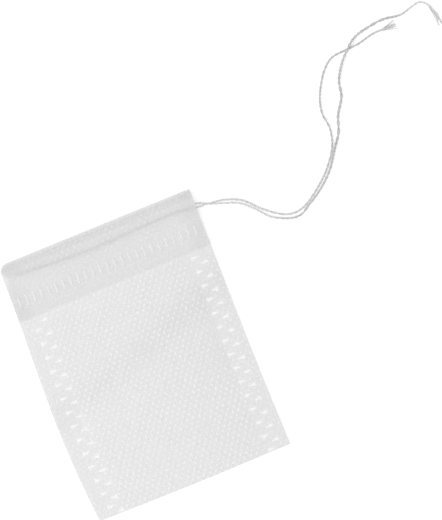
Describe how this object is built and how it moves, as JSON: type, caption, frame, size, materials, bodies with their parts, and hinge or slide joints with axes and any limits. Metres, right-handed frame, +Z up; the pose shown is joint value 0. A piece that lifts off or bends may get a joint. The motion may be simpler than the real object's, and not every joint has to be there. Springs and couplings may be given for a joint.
{
  "type": "drawstring filter bag",
  "caption": "Flat, empty filter bag of thin white non-woven cloth, folded at the bottom and weld-marked at the sides, with turned-in hems and a thin drawstring whose tails lie loose.",
  "frame": {"origin": "under the middle of the bag's box, on the surface that it lies on", "axes": "+X across the bag towards the side where the thread leaves, +Y along the bag towards its mouth, +Z up out of the front panel"},
  "size_m": [0.1489, 0.1052, 0.0018],
  "materials": {
    "nonwoven": "matt, translucent, dot-bonded",
    "thread": "matt two-ply cotton"
  },
  "bodies": {
    "root": {"filter_pouch": "nonwoven", "drawstring": "thread"}
  },
  "joints": []
}
